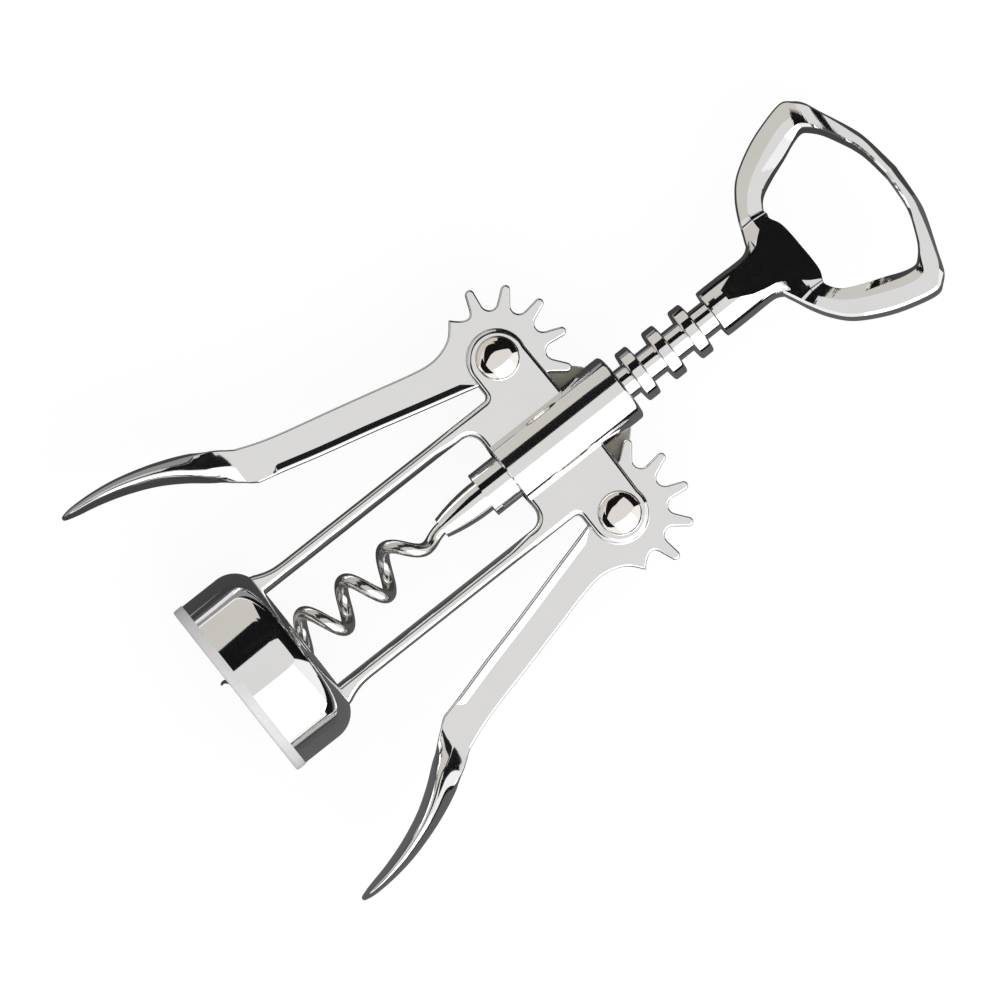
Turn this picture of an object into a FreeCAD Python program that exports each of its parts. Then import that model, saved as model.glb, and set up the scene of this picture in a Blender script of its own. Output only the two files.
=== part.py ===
import FreeCAD, Part
import math
import os
import re

import Sketcher

os.makedirs("parts", exist_ok=True)

doc = FreeCAD.newDocument("WingCorkscrew")
sheet = doc.addObject("Spreadsheet::Sheet", "Sizes")

# Y runs along the spindle from the bell's mouth to the handle, X across the wings,
# Z up out of the plane the wings swing in. Heights are Y values above the bell's mouth.
sizes = {
    # bell and its plastic ring
    "bell_radius": 20.4,
    "bell_wall": 1.2,
    "bell_top": 17.3,
    "bell_shoulder": 6.2,
    "bell_opening": 11.8,
    "ring_radius": 20.6,
    "ring_flange": 2.3,
    "ring_inner": 15.6,
    "ring_top": 9.8,
    "ring_lead_in": 1.0,
    # frame halves
    "plate_inner": 2.1,
    "plate_outer": 3.6,
    "plate_top": 90.8,
    "plate_bottom": 71.4,
    "leg_inner": 11.9,
    "leg_outer": 15.0,
    "leg_split_top": 67.0,
    "leg_corner": 3.0,
    "foot_top": 23.0,
    "foot_reach": 18.2,
    "foot_height": 15.4,
    "sleeve_radius": 7.75,
    "sleeve_bore": 6.3,
    "sleeve_bottom": 71.4,
    "sleeve_top": 101.2,
    "gusset_top": 97.6,
    "gusset_reach": 15.5,
    "window_reach": 9.3,
    "edge_round": 0.5,
    # pivots, rivets and washers
    "pivot_offset": 20.2,
    "pivot_height": 84.5,
    "shank_radius": 2.0,
    "dome_radius": 4.65,
    "dome_rise": 2.1,
    "dome_rim": 0.4,
    "cap_depth": 1.8,
    "washer_inner": 2.1,
    "washer_outer": 4.4,
    "washer_thickness": 0.4,
    # wings
    "wing_thickness": 3.2,
    "wing_bore": 2.05,
    "gear_root": 10.1,
    "gear_tip": 15.3,
    "gear_heel": 5.5,
    "tooth_tip_half": 0.95,
    "tooth_root_half": 1.65,
    "tooth_seat": 8.6,
    "tooth_first": -15.0,
    "tooth_step": 30.0,
    "tooth_count": 7,
    "valley_round": 1.1,
    # spindle
    "rack_pitch": 6.95,
    "rack_rings": 7,
    "rack_core": 3.5,
    "rack_ring": 6.05,
    "rack_crest_half": 1.45,
    "rack_root_half": 1.8,
    "rack_bore": 2.25,
    "rack_bottom": 74.0,
    "rack_top": 125.0,
    "rod_radius": 2.2,
    "rod_bottom": 62.5,
    "rod_top": 134.0,
    # worm and its holder
    "collar_radius": 5.15,
    "collar_top": 73.9,
    "collar_bottom": 64.9,
    "cone_radius": 3.65,
    "cone_middle_radius": 3.3,
    "cone_middle": 59.0,
    "cone_tip_radius": 2.3,
    "cone_bottom": 54.0,
    "worm_wire": 1.45,
    "worm_point": 0.3,
    "worm_radius": 4.0,
    "worm_pitch": 10.8,
    "worm_left": 31.4,
    "worm_shank_top": 61.5,
    "worm_swing_top": 49.5,
    "worm_swing_bottom": 42.0,
    "worm_tip": -1.3,
    # handle
    "neck_radius": 5.55,
    "neck_bottom": 125.1,
    "neck_shoulder": 131.5,
    "neck_top": 141.4,
    "loop_half_depth": 3.4,
    "loop_half_width": 26.2,
    "loop_widest": 163.8,
    "loop_top": 174.2,
    "loop_bottom": 138.3,
    "hole_half_width": 19.1,
    "hole_top": 170.8,
    "hole_bottom": 146.6,
    "tongue_top": 147.8,
    "flute_foot": 130.0,
    "flute_half": 5.0,
    "lip_level": -1.4,
    "handle_spin": -17.0,
}
for row, (alias, number) in enumerate(sizes.items(), start=1):
    sheet.set(f"A{row}", alias)
    sheet.set(f"B{row}", str(number))
    sheet.setAlias(f"B{row}", alias)
doc.recompute()


def bound(words):
    return re.sub(r"[a-z]\w*", r"Sizes.\g<0>", str(words))


def value(words):
    return float(sheet.evalExpression(bound(words)))


def new_body(name):
    body = doc.addObject("PartDesign::Body", name)
    body.Label = name
    return body


def new_sketch(body, name, plane="XY_Plane", lift="0"):
    sketch = body.newObject("Sketcher::SketchObject", name)
    planes = [found for found in body.Origin.OriginFeatures if found.Role == plane]
    sketch.AttachmentSupport = (planes[0], [""])
    sketch.MapMode = "FlatFace"
    sketch.setExpression("AttachmentOffset.Base.z", bound(lift))
    return sketch


def pin_point(sketch, piece, end, x, y):
    for kind, words in (("DistanceX", x), ("DistanceY", y)):
        made = Sketcher.Constraint(kind, -1, 1, piece, end, value(words))
        index = sketch.addConstraint(made)
        sketch.setExpression(f"Constraints[{index}]", bound(words))


def straight_outline(sketch, corners):
    points = [FreeCAD.Vector(value(x), value(y), 0) for x, y in corners]
    first = sketch.GeometryCount
    for start, end in zip(points, points[1:] + points[:1]):
        sketch.addGeometry(Part.LineSegment(start, end))
    for number in range(len(points)):
        after = first + (number + 1) % len(points)
        sketch.addConstraint(Sketcher.Constraint("Coincident", first + number, 2, after, 1))
    for number, (x, y) in enumerate(corners):
        pin_point(sketch, first + number, 1, x, y)


def circle_outline(sketch, x, y, radius):
    centre = FreeCAD.Vector(value(x), value(y), 0)
    number = sketch.addGeometry(Part.Circle(centre, FreeCAD.Vector(0, 0, 1), value(radius)))
    pin_point(sketch, number, 3, x, y)
    index = sketch.addConstraint(Sketcher.Constraint("Radius", number, value(radius)))
    sketch.setExpression(f"Constraints[{index}]", bound(radius))


def curved_outline(sketch, pieces):
    # each piece is a list of points: two make a line, more make a smooth curve
    first = sketch.GeometryCount
    for piece in pieces:
        points = [FreeCAD.Vector(value(x), value(y), 0) for x, y in piece]
        if len(points) == 2:
            sketch.addGeometry(Part.LineSegment(*points))
        else:
            curve = Part.BSplineCurve()
            curve.interpolate(points)
            sketch.addGeometry(curve)
    for number in range(len(pieces)):
        after = first + (number + 1) % len(pieces)
        sketch.addConstraint(Sketcher.Constraint("Coincident", first + number, 2, after, 1))


def pad(body, sketch, length, name, middle=False, reverse=False):
    feature = body.newObject("PartDesign::Pad", name)
    feature.Profile = sketch
    feature.setExpression("Length", bound(length))
    feature.Midplane = middle
    feature.Reversed = reverse
    return feature


def cut(body, sketch, length, name, middle=False, reverse=False):
    before = body.Shape.Volume
    feature = body.newObject("PartDesign::Pocket", name)
    feature.Profile = sketch
    feature.setExpression("Length", bound(length))
    feature.Midplane = middle
    feature.Reversed = reverse
    doc.recompute()
    if body.Shape.Volume > before - 0.01:
        raise ValueError(f"{name} takes nothing away")
    return feature


def turn(body, sketch, name, kind="PartDesign::Revolution"):
    feature = body.newObject(kind, name)
    feature.Profile = sketch
    feature.ReferenceAxis = (sketch, ["V_Axis"])
    feature.Angle = 360
    return feature


def soften(body, radius, name, wanted):
    doc.recompute()
    tip = body.Tip
    edges = [
        f"Edge{number}"
        for number, edge in enumerate(tip.Shape.Edges, start=1)
        if wanted(edge)
    ]
    feature = body.newObject("PartDesign::Fillet", name)
    feature.Base = (tip, edges)
    feature.setExpression("Radius", bound(radius))
    doc.recompute()
    return feature


def at_height(edge, height, radius=None):
    box = edge.BoundBox
    level = box.YLength < 0.01 and abs(box.YMin - height) < 0.01
    return level and (radius is None or abs(box.XMax - radius) < 0.01)


# Bell: a round cup whose open side seats on the bottle, with a hole for the cork in its top
bell = new_body("bell")
profile = new_sketch(bell, "BellProfile")
straight_outline(
    profile,
    [
        ("bell_opening", "bell_top"),
        ("bell_radius", "bell_top"),
        ("bell_radius", "ring_flange"),
        ("bell_radius - bell_wall", "ring_flange"),
        ("bell_radius - bell_wall", "bell_top - bell_wall"),
        ("bell_opening", "bell_top - bell_wall"),
    ],
)
turn(bell, profile, "BellWall")
soften(bell, "bell_shoulder", "BellShoulder", lambda e: at_height(e, value("bell_top"), value("bell_radius")))
soften(
    bell,
    "bell_shoulder - bell_wall",
    "BellHollow",
    lambda e: at_height(e, value("bell_top - bell_wall"), value("bell_radius - bell_wall")),
)

# Plastic ring: a flange under the bell's rim and a lining up inside it
bell_ring = new_body("bell_ring")
profile = new_sketch(bell_ring, "RingProfile")
straight_outline(
    profile,
    [
        ("ring_inner + ring_lead_in", "0"),
        ("ring_radius", "0"),
        ("ring_radius", "ring_flange"),
        ("bell_radius - bell_wall", "ring_flange"),
        ("bell_radius - bell_wall", "ring_top"),
        ("ring_inner", "ring_top"),
        ("ring_inner", "ring_lead_in"),
    ],
)
turn(bell_ring, profile, "RingWall")
soften(bell_ring, "edge_round", "RingEdge", lambda e: at_height(e, 0, value("ring_radius")))


# Frame half: plate with half of the sleeve, a lobe at each pivot and half of each leg
def frame_half(name, gusseted):
    body = new_body(name)
    plate = new_sketch(body, "Plate", lift="plate_inner")
    straight_outline(
        plate,
        [
            ("-pivot_offset", "plate_top"),
            ("-pivot_offset", "2 * pivot_height - plate_top"),
            ("-leg_outer", "2 * pivot_height - plate_top"),
            ("-leg_outer", "bell_top - 2"),
            ("-leg_inner", "bell_top - 2"),
            ("-leg_inner", "plate_bottom"),
            ("leg_inner", "plate_bottom"),
            ("leg_inner", "bell_top - 2"),
            ("leg_outer", "bell_top - 2"),
            ("leg_outer", "2 * pivot_height - plate_top"),
            ("pivot_offset", "2 * pivot_height - plate_top"),
            ("pivot_offset", "plate_top"),
        ],
    )
    pad(body, plate, "plate_outer - plate_inner", "PlatePad")
    lobes = new_sketch(body, "Lobes", lift="plate_inner")
    for side in ("-", ""):
        circle_outline(lobes, f"{side}pivot_offset", "pivot_height", "plate_top - pivot_height")
    pad(body, lobes, "plate_outer - plate_inner", "LobePad")
    if gusseted:
        gusset = new_sketch(body, "Gusset", lift="plate_inner")
        straight_outline(
            gusset,
            [
                ("-gusset_reach", "plate_top - 1"),
                ("gusset_reach", "plate_top - 1"),
                ("gusset_reach", "plate_top"),
                ("sleeve_bore + 3", "gusset_top - 0.8"),
                ("sleeve_bore", "gusset_top"),
                ("-sleeve_bore", "gusset_top"),
                ("-sleeve_bore - 3", "gusset_top - 0.8"),
                ("-gusset_reach", "plate_top"),
            ],
        )
        pad(body, gusset, "plate_outer - plate_inner", "GussetPad")
    for side in ("-", ""):
        word = "Left" if side else "Right"
        leg = new_sketch(body, f"{word}Leg")
        straight_outline(
            leg,
            [
                (f"{side}leg_inner", "leg_split_top"),
                (f"{side}leg_outer", "leg_split_top"),
                (f"{side}leg_outer", "foot_top"),
                (f"{side}(leg_outer + 0.25 * (foot_reach - leg_outer))", "0.55 * foot_top + 0.45 * foot_height"),
                (f"{side}foot_reach", "foot_height"),
                (f"{side}foot_reach", "foot_height - 3"),
                (f"{side}leg_inner", "foot_height - 3"),
            ],
        )
        pad(body, leg, "plate_outer", f"{word}LegPad")
    doc.recompute()
    soften(
        body,
        "leg_corner",
        "LegCorners",
        lambda e: abs(e.BoundBox.YMin - value("plate_bottom")) < 0.01
        and e.BoundBox.YLength < 0.01
        and e.BoundBox.XLength < 0.01
        and abs(abs(e.BoundBox.XMin) - value("leg_inner")) < 0.01,
    )
    tube = new_sketch(body, "SleeveSection", plane="XZ_Plane", lift="-sleeve_bottom")
    radius = value("sleeve_radius")
    up = FreeCAD.Vector(0, 0, 1)
    arc = Part.ArcOfCircle(Part.Circle(FreeCAD.Vector(0, 0, 0), up, radius), 0, math.pi)
    tube.addGeometry(arc)
    tube.addGeometry(Part.LineSegment(FreeCAD.Vector(-radius, 0, 0), FreeCAD.Vector(radius, 0, 0)))
    tube.addConstraint(Sketcher.Constraint("Coincident", 0, 2, 1, 1))
    tube.addConstraint(Sketcher.Constraint("Coincident", 1, 2, 0, 1))
    tube.addConstraint(Sketcher.Constraint("Coincident", 0, 3, -1, 1))
    tube.addConstraint(Sketcher.Constraint("PointOnObject", 0, 1, -1))
    index = tube.addConstraint(Sketcher.Constraint("Radius", 0, radius))
    tube.setExpression(f"Constraints[{index}]", bound("sleeve_radius"))
    pad(body, tube, "sleeve_top - sleeve_bottom", "SleevePad", reverse=True)
    doc.recompute()
    soften(
        body,
        "edge_round",
        "SleeveMouth",
        lambda e: at_height(e, value("sleeve_top"))
        and e.BoundBox.ZMax > value("sleeve_radius") - 0.01,
    )
    bore = new_sketch(body, "SleeveBore", plane="XZ_Plane", lift="-sleeve_bottom + 5")
    circle_outline(bore, "0", "0", "sleeve_bore")
    cut(body, bore, "sleeve_top - sleeve_bottom + 10", "SleeveBoreCut", reverse=False)
    for side in ("-", ""):
        word = "Left" if side else "Right"
        window = new_sketch(body, f"{word}Window")
        straight_outline(
            window,
            [
                (f"{side}3", "pivot_height - window_reach"),
                (f"{side}10", "pivot_height - window_reach"),
                (f"{side}10", "pivot_height + window_reach"),
                (f"{side}3", "pivot_height + window_reach"),
            ],
        )
        cut(body, window, "plate_inner", f"{word}WindowCut", reverse=True)
    holes = new_sketch(body, "RivetHoles")
    for side in ("-", ""):
        circle_outline(holes, f"{side}pivot_offset", "pivot_height", "shank_radius")
    cut(body, holes, "2 * plate_outer", "RivetHoleCut", reverse=True)
    seat = new_sketch(body, "BellSeat")
    arc_centre = FreeCAD.Vector(value("bell_radius - bell_shoulder"), value("bell_top - bell_shoulder"), 0)
    shoulder = Part.Circle(arc_centre, up, value("bell_shoulder"))
    top = FreeCAD.Vector(arc_centre.x, value("bell_top"), 0)
    side_point = FreeCAD.Vector(value("bell_radius"), arc_centre.y, 0)
    low_out = FreeCAD.Vector(side_point.x, 2, 0)
    low_in = FreeCAD.Vector(0, 2, 0)
    high_in = FreeCAD.Vector(0, top.y, 0)
    seat.addGeometry(Part.ArcOfCircle(shoulder, 0, math.pi / 2))
    for start, end in ((top, high_in), (high_in, low_in), (low_in, low_out), (low_out, side_point)):
        seat.addGeometry(Part.LineSegment(start, end))
    for number in range(5):
        seat.addConstraint(Sketcher.Constraint("Coincident", number, 2, (number + 1) % 5, 1))
    doc.recompute()
    before = body.Shape.Volume
    turn(body, seat, "BellSeatCut", "PartDesign::Groove")
    doc.recompute()
    if body.Shape.Volume > before - 0.01:
        raise ValueError("the bell's seat takes nothing away")
    return body


front_frame = frame_half("front_frame", False)
rear_frame = frame_half("rear_frame", True)
half_turn = FreeCAD.Rotation(FreeCAD.Vector(0, 1, 0), 180)
rear_frame.Placement = FreeCAD.Placement(FreeCAD.Vector(0, 0, 0), half_turn)


# Rivets: a shank through both halves with a domed head in front and a domed cap behind
def dome_profile(body, name, base, rise, inner):
    # the section of a dome over a short straight rim, from the axis outwards
    sketch = new_sketch(body, name, plane="XZ_Plane")
    rim = f"{base} + dome_rim"
    steps = 6
    arch = []
    for step in range(steps + 1):
        part = math.pi / 2 * step / steps
        arch.append((f"dome_radius * {math.cos(part):.6f}", f"{rim} + ({rise}) * {math.sin(part):.6f}"))
    crown = arch[-1]
    curved_outline(
        sketch,
        [
            [crown, (inner, base)] if inner == "0" else [crown, ("0", f"{base} + cap_depth")],
            *([] if inner == "0" else [
                [("0", f"{base} + cap_depth"), (inner, f"{base} + cap_depth")],
                [(inner, f"{base} + cap_depth"), (inner, base)],
            ]),
            [(inner, base), ("dome_radius", base)],
            [("dome_radius", base), ("dome_radius", rim)],
            arch,
        ],
    )
    return sketch


def at_pivot(body, side):
    body.setExpression("Placement.Base.x", bound(f"{side}pivot_offset"))
    body.setExpression("Placement.Base.y", bound("pivot_height"))


def rivet(name, side):
    body = new_body(name)
    head = dome_profile(body, "Head", "plate_outer", "dome_rise", "0")
    turn(body, head, "HeadDome")
    shank = new_sketch(body, "Shank", lift="-plate_outer - cap_depth")
    circle_outline(shank, "0", "0", "shank_radius")
    pad(body, shank, "2 * plate_outer + cap_depth + dome_rim", "ShankPad")
    at_pivot(body, side)
    return body


def rivet_cap(name, side):
    body = new_body(name)
    cap = dome_profile(body, "Cap", "plate_outer", "dome_rise", "shank_radius")
    turn(body, cap, "CapDome")
    body.Placement = FreeCAD.Placement(FreeCAD.Vector(0, 0, 0), half_turn)
    at_pivot(body, side)
    return body


def washer(name, side, layer):
    body = new_body(name)
    middle = "0.25 * wing_thickness + 0.5 * plate_inner"
    ring = new_sketch(body, "WasherRing", lift=f"{layer}({middle}) - washer_thickness / 2")
    circle_outline(ring, "0", "0", "washer_outer")
    circle_outline(ring, "0", "0", "washer_inner")
    pad(body, ring, "washer_thickness", "WasherPad")
    at_pivot(body, side)
    return body


left_rivet = rivet("left_rivet", "-")
right_rivet = rivet("right_rivet", "")
left_rivet_cap = rivet_cap("left_rivet_cap", "-")
right_rivet_cap = rivet_cap("right_rivet_cap", "")
left_front_washer = washer("left_front_washer", "-", "")
left_rear_washer = washer("left_rear_washer", "-", "-")
right_front_washer = washer("right_front_washer", "", "")
right_rear_washer = washer("right_rear_washer", "", "-")


# Wing: gear sector round the pivot, flat blade, then a palm grip turned across the blade
def wing(name, side):
    body = new_body(name)
    disc = new_sketch(body, "GearDisc")
    circle_outline(disc, "0", "0", "gear_root")
    pad(body, disc, "wing_thickness", "GearPad", middle=True)
    doc.recompute()
    heel = new_sketch(body, "GearHeel")
    straight_outline(
        heel,
        [
            ("-gear_tip", "-gear_heel"),
            ("gear_tip", "-gear_heel"),
            ("gear_tip", "-gear_tip"),
            ("-gear_tip", "-gear_tip"),
        ],
    )
    cut(body, heel, "2 * wing_thickness", "GearHeelCut", middle=True)
    tooth = new_sketch(body, "Tooth")
    tooth.AttachmentOffset = FreeCAD.Placement(
        FreeCAD.Vector(0, 0, 0), FreeCAD.Rotation(FreeCAD.Vector(0, 0, 1), value("tooth_first"))
    )
    shoulder = "gear_tip - tooth_tip_half"
    curved_outline(
        tooth,
        [
            [("tooth_seat", "-tooth_root_half"), (shoulder, "-tooth_tip_half")],
            [
                (shoulder, "-tooth_tip_half"),
                ("gear_tip - 0.3 * tooth_tip_half", "-0.7 * tooth_tip_half"),
                ("gear_tip", "0"),
                ("gear_tip - 0.3 * tooth_tip_half", "0.7 * tooth_tip_half"),
                (shoulder, "tooth_tip_half"),
            ],
            [(shoulder, "tooth_tip_half"), ("tooth_seat", "tooth_root_half")],
            [("tooth_seat", "tooth_root_half"), ("tooth_seat", "-tooth_root_half")],
        ],
    )
    tooth_pad = pad(body, tooth, "wing_thickness", "ToothPad", middle=True)
    doc.recompute()
    teeth = body.newObject("PartDesign::PolarPattern", "Teeth")
    teeth.Originals = [tooth_pad]
    teeth.Axis = (disc, ["N_Axis"])
    teeth.setExpression("Angle", bound("tooth_step * (tooth_count - 1)"))
    teeth.setExpression("Occurrences", bound("tooth_count"))
    body.Tip = teeth
    soften(
        body,
        "valley_round",
        "Valleys",
        lambda e: e.BoundBox.ZLength > value("wing_thickness") - 0.01
        and e.BoundBox.XLength < 0.01
        and e.BoundBox.YLength < 0.01
        and abs(math.hypot(e.BoundBox.XMin, e.BoundBox.YMin) - value("gear_root")) < 0.02
        and e.BoundBox.YMin > -1.0,
    )
    blade = new_sketch(body, "Blade")
    outer_side = [("-9.6", "1.2"), ("-12.4", "-2.9")]
    neck_side = [
        ("-12.4", "-2.9"),
        ("-9.6", "-5.4"),
        ("-8.2", "-8.6"),
        ("-7.9", "-12.0"),
        ("-8.7", "-16.5"),
        ("-10.6", "-24.0"),
        ("-13.1", "-34.0"),
        ("-15.4", "-43.5"),
        ("-18.9", "-54.0"),
    ]
    inner_side = [
        ("-10.3", "-54.0"),
        ("-9.0", "-48.8"),
        ("-6.7", "-40.4"),
        ("-3.9", "-29.2"),
        ("-0.9", "-18.0"),
        ("2.0", "-7.0"),
    ]
    curved_outline(
        blade,
        [
            outer_side,
            neck_side,
            [neck_side[-1], inner_side[0]],
            inner_side,
            [inner_side[-1], ("0", "0")],
            [("0", "0"), outer_side[0]],
        ],
    )
    pad(body, blade, "wing_thickness", "BladePad", middle=True)
    doc.recompute()
    grip(body)
    doc.recompute()
    bore = new_sketch(body, "RivetBore")
    circle_outline(bore, "0", "0", "wing_bore")
    cut(body, bore, "2 * wing_thickness", "RivetBoreCut", middle=True)
    if side == "":
        body.Placement = FreeCAD.Placement(FreeCAD.Vector(0, 0, 0), half_turn)
    at_pivot(body, side)
    return body


def grip(body):
    # stations along the grip: height, outer edge, inner edge, half depth across the wing
    stations = [
        (-54.0, -18.9, -10.3, 1.6),
        (-56.5, -20.7, -12.2, 3.9),
        (-59.0, -22.4, -14.2, 6.1),
        (-62.0, -24.1, -16.4, 7.7),
        (-66.0, -25.9, -19.5, 8.2),
        (-71.0, -27.7, -22.6, 8.3),
        (-77.0, -29.3, -25.2, 8.1),
        (-82.5, -30.1, -26.9, 7.4),
        (-87.0, -30.3, -27.9, 5.8),
        (-90.4, -29.8, -28.9, 2.6),
    ]
    sections = []
    for number, (height, outer, inner, half_depth) in enumerate(stations):
        section = new_sketch(body, f"Grip{number}", plane="XZ_Plane", lift=-height)
        power = 0.42 if number == 0 else 0.62
        points = []
        for step in range(16):
            part = 2 * math.pi * (step + 0.5) / 16
            across = math.copysign(abs(math.cos(part)) ** power, math.cos(part))
            deep = math.copysign(abs(math.sin(part)) ** power, math.sin(part))
            x = (outer + inner) / 2 + across * (inner - outer) / 2
            points.append(FreeCAD.Vector(x, deep * half_depth, 0))
        curve = Part.BSplineCurve()
        curve.interpolate(points, True)
        section.addGeometry(curve)
        sections.append(section)
    loft = body.newObject("PartDesign::AdditiveLoft", "GripLoft")
    loft.Profile = sections[0]
    loft.Sections = sections[1:]
    return loft


left_wing = wing("left_wing", "-")
right_wing = wing("right_wing", "")

# Rack: a round tube with rings that the wings' teeth work against
rack_spindle = new_body("rack_spindle")
core = new_sketch(rack_spindle, "Core")
straight_outline(
    core,
    [
        ("rack_bore", "rack_bottom"),
        ("rack_core", "rack_bottom"),
        ("rack_core", "rack_top"),
        ("rack_bore", "rack_top"),
    ],
)
turn(rack_spindle, core, "CoreTube")
ring = new_sketch(rack_spindle, "Ring")
low_ring = "pivot_height - rack_pitch"
straight_outline(
    ring,
    [
        ("rack_core - 0.2", f"{low_ring} - rack_root_half"),
        ("rack_core", f"{low_ring} - rack_root_half"),
        ("rack_ring", f"{low_ring} - rack_crest_half"),
        ("rack_ring", f"{low_ring} + rack_crest_half"),
        ("rack_core", f"{low_ring} + rack_root_half"),
        ("rack_core - 0.2", f"{low_ring} + rack_root_half"),
    ],
)
ring_turn = turn(rack_spindle, ring, "RingTurn")
doc.recompute()
rings = rack_spindle.newObject("PartDesign::LinearPattern", "Rings")
rings.Originals = [ring_turn]
rings.Direction = (ring, ["V_Axis"])
rings.setExpression("Length", bound("rack_pitch * (rack_rings - 1)"))
rings.setExpression("Occurrences", bound("rack_rings"))
rack_spindle.Tip = rings
soften(
    rack_spindle,
    "edge_round",
    "RingEdges",
    lambda e: e.BoundBox.YLength < 0.01 and abs(e.BoundBox.XMax - value("rack_ring")) < 0.01,
)

# Rod: joins the handle to the worm through the rack
spindle_rod = doc.addObject("Part::Cylinder", "spindle_rod")
spindle_rod.Label = "spindle_rod"
spindle_rod.setExpression("Radius", bound("rod_radius"))
spindle_rod.setExpression("Height", bound("rod_top - rod_bottom"))
spindle_rod.Placement = FreeCAD.Placement(
    FreeCAD.Vector(0, value("rod_bottom"), 0), FreeCAD.Rotation(FreeCAD.Vector(1, 0, 0), -90)
)
spindle_rod.setExpression("Placement.Base.y", bound("rod_bottom"))

# Holder: collar under the rack, narrowing to the worm
worm_holder = new_body("worm_holder")
profile = new_sketch(worm_holder, "HolderProfile")
curved_outline(
    profile,
    [
        [("0", "rod_bottom"), ("rod_radius", "rod_bottom")],
        [("rod_radius", "rod_bottom"), ("rod_radius", "collar_top")],
        [("rod_radius", "collar_top"), ("collar_radius", "collar_top")],
        [("collar_radius", "collar_top"), ("collar_radius", "collar_bottom")],
        [("collar_radius", "collar_bottom"), ("cone_radius", "collar_bottom")],
        [
            ("cone_radius", "collar_bottom"),
            ("cone_middle_radius", "cone_middle"),
            ("cone_tip_radius", "cone_bottom"),
        ],
        [("cone_tip_radius", "cone_bottom"), ("worm_wire", "cone_bottom")],
        [("worm_wire", "cone_bottom"), ("worm_wire", "worm_shank_top")],
        [("worm_wire", "worm_shank_top"), ("0", "worm_shank_top")],
        [("0", "worm_shank_top"), ("0", "rod_bottom")],
    ],
)
turn(worm_holder, profile, "HolderTurn")


# Worm: round wire that leaves the holder on the axis, swings out and winds to a point
def worm_centre(height):
    top = value("worm_swing_top")
    swing = min(max((top - height) / (top - value("worm_swing_bottom")), 0.0), 1.0)
    tip_share = min(max((height - value("worm_tip")) / value("0.5 * worm_pitch"), 0.0), 1.0)
    radius = value("worm_radius") * swing * swing * (3 - 2 * swing) * (0.72 + 0.28 * tip_share)
    angle = math.pi - 2 * math.pi * (height - value("worm_left")) / value("worm_pitch")
    return FreeCAD.Vector(radius * math.cos(angle), height, radius * math.sin(angle))


def worm_section(height):
    step = 0.01
    along = (worm_centre(height - step) - worm_centre(height + step)).normalize()
    taper = min((height - value("worm_tip")) / value("0.62 * worm_pitch"), 1.0)
    radius = value("worm_point") + (value("worm_wire") - value("worm_point")) * taper
    aside = FreeCAD.Vector(0, 0, 1)
    aside = (aside - along * aside.dot(along)).normalize()
    turned = FreeCAD.Rotation(aside, along.cross(aside), along, "ZXY")
    circle = Part.Circle(FreeCAD.Vector(0, 0, 0), FreeCAD.Vector(0, 0, 1), radius)
    wire = Part.Wire([circle.toShape()])
    wire.Placement = FreeCAD.Placement(worm_centre(height), turned)
    return wire


section_count = 56
worm_reach = value("worm_swing_top + 0.8 - worm_tip")
worm_sections = [worm_section(value("worm_shank_top"))]
for number in range(section_count + 1):
    worm_sections.append(worm_section(value("worm_tip") + worm_reach * (1 - number / section_count)))
worm = doc.addObject("Part::Feature", "worm")
worm.Label = "worm"
worm.Shape = Part.makeLoft(worm_sections, True, False)
worm.Placement = FreeCAD.Placement()

# Handle: neck over the rod, opening into a loop with a cap lifter's lip
handle = new_body("handle")
loop = new_sketch(handle, "Loop")
rim = [
    ("0.220", "loop_bottom + 0.5"),
    ("0.335", "loop_bottom + 1.7"),
    ("0.460", "loop_bottom + 3.1"),
    ("0.610", "loop_bottom + 5.3"),
    ("0.750", "loop_bottom + 8.6"),
    ("0.885", "loop_bottom + 14.6"),
    ("0.965", "loop_bottom + 20.5"),
    ("1.000", "loop_widest"),
    ("0.955", "loop_widest + 2.2"),
    ("0.885", "loop_top - 6.4"),
    ("0.750", "loop_top - 4.9"),
    ("0.490", "loop_top - 2.1"),
    ("0.320", "loop_top - 0.9"),
]
right_rim = [(f"{share} * loop_half_width", height) for share, height in rim]
left_rim = [(f"-{share} * loop_half_width", height) for share, height in reversed(rim)]
curved_outline(
    loop,
    [
        [*right_rim, ("0", "loop_top"), *left_rim],
        [left_rim[-1], right_rim[0]],
    ],
)
pad(handle, loop, "2 * loop_half_depth", "LoopPad", middle=True)
neck = new_sketch(handle, "Neck")
straight_outline(
    neck,
    [
        ("0", "neck_bottom"),
        ("neck_radius", "neck_bottom"),
        ("neck_radius", "neck_shoulder"),
        ("loop_half_depth", "neck_top"),
        ("0", "neck_top"),
    ],
)
turn(handle, neck, "NeckTurn")
doc.recompute()
hole = new_sketch(handle, "Hole")
edge = [
    ("0.345", "tongue_top - 0.2"),
    ("0.470", "hole_bottom"),
    ("0.560", "hole_bottom + 0.1"),
    ("0.700", "hole_bottom + 2.1"),
    ("0.800", "hole_bottom + 6.1"),
    ("0.880", "hole_bottom + 10.4"),
    ("0.960", "hole_bottom + 14.0"),
    ("1.000", "hole_bottom + 16.6"),
    ("0.965", "hole_top - 6.2"),
    ("0.850", "hole_top - 4.4"),
    ("0.665", "hole_top - 2.7"),
    ("0.480", "hole_top - 1.3"),
    ("0.300", "hole_top - 0.5"),
]
right_edge = [(f"{share} * hole_half_width", height) for share, height in edge]
left_edge = [(f"-{share} * hole_half_width", height) for share, height in reversed(edge)]
curved_outline(
    hole,
    [
        [*right_edge, ("0", "hole_top"), *left_edge],
        [left_edge[-1], right_edge[0]],
    ],
)
cut(handle, hole, "4 * loop_half_depth", "HoleCut", middle=True)
flute = new_sketch(handle, "LifterFlute", plane="YZ_Plane")
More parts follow.
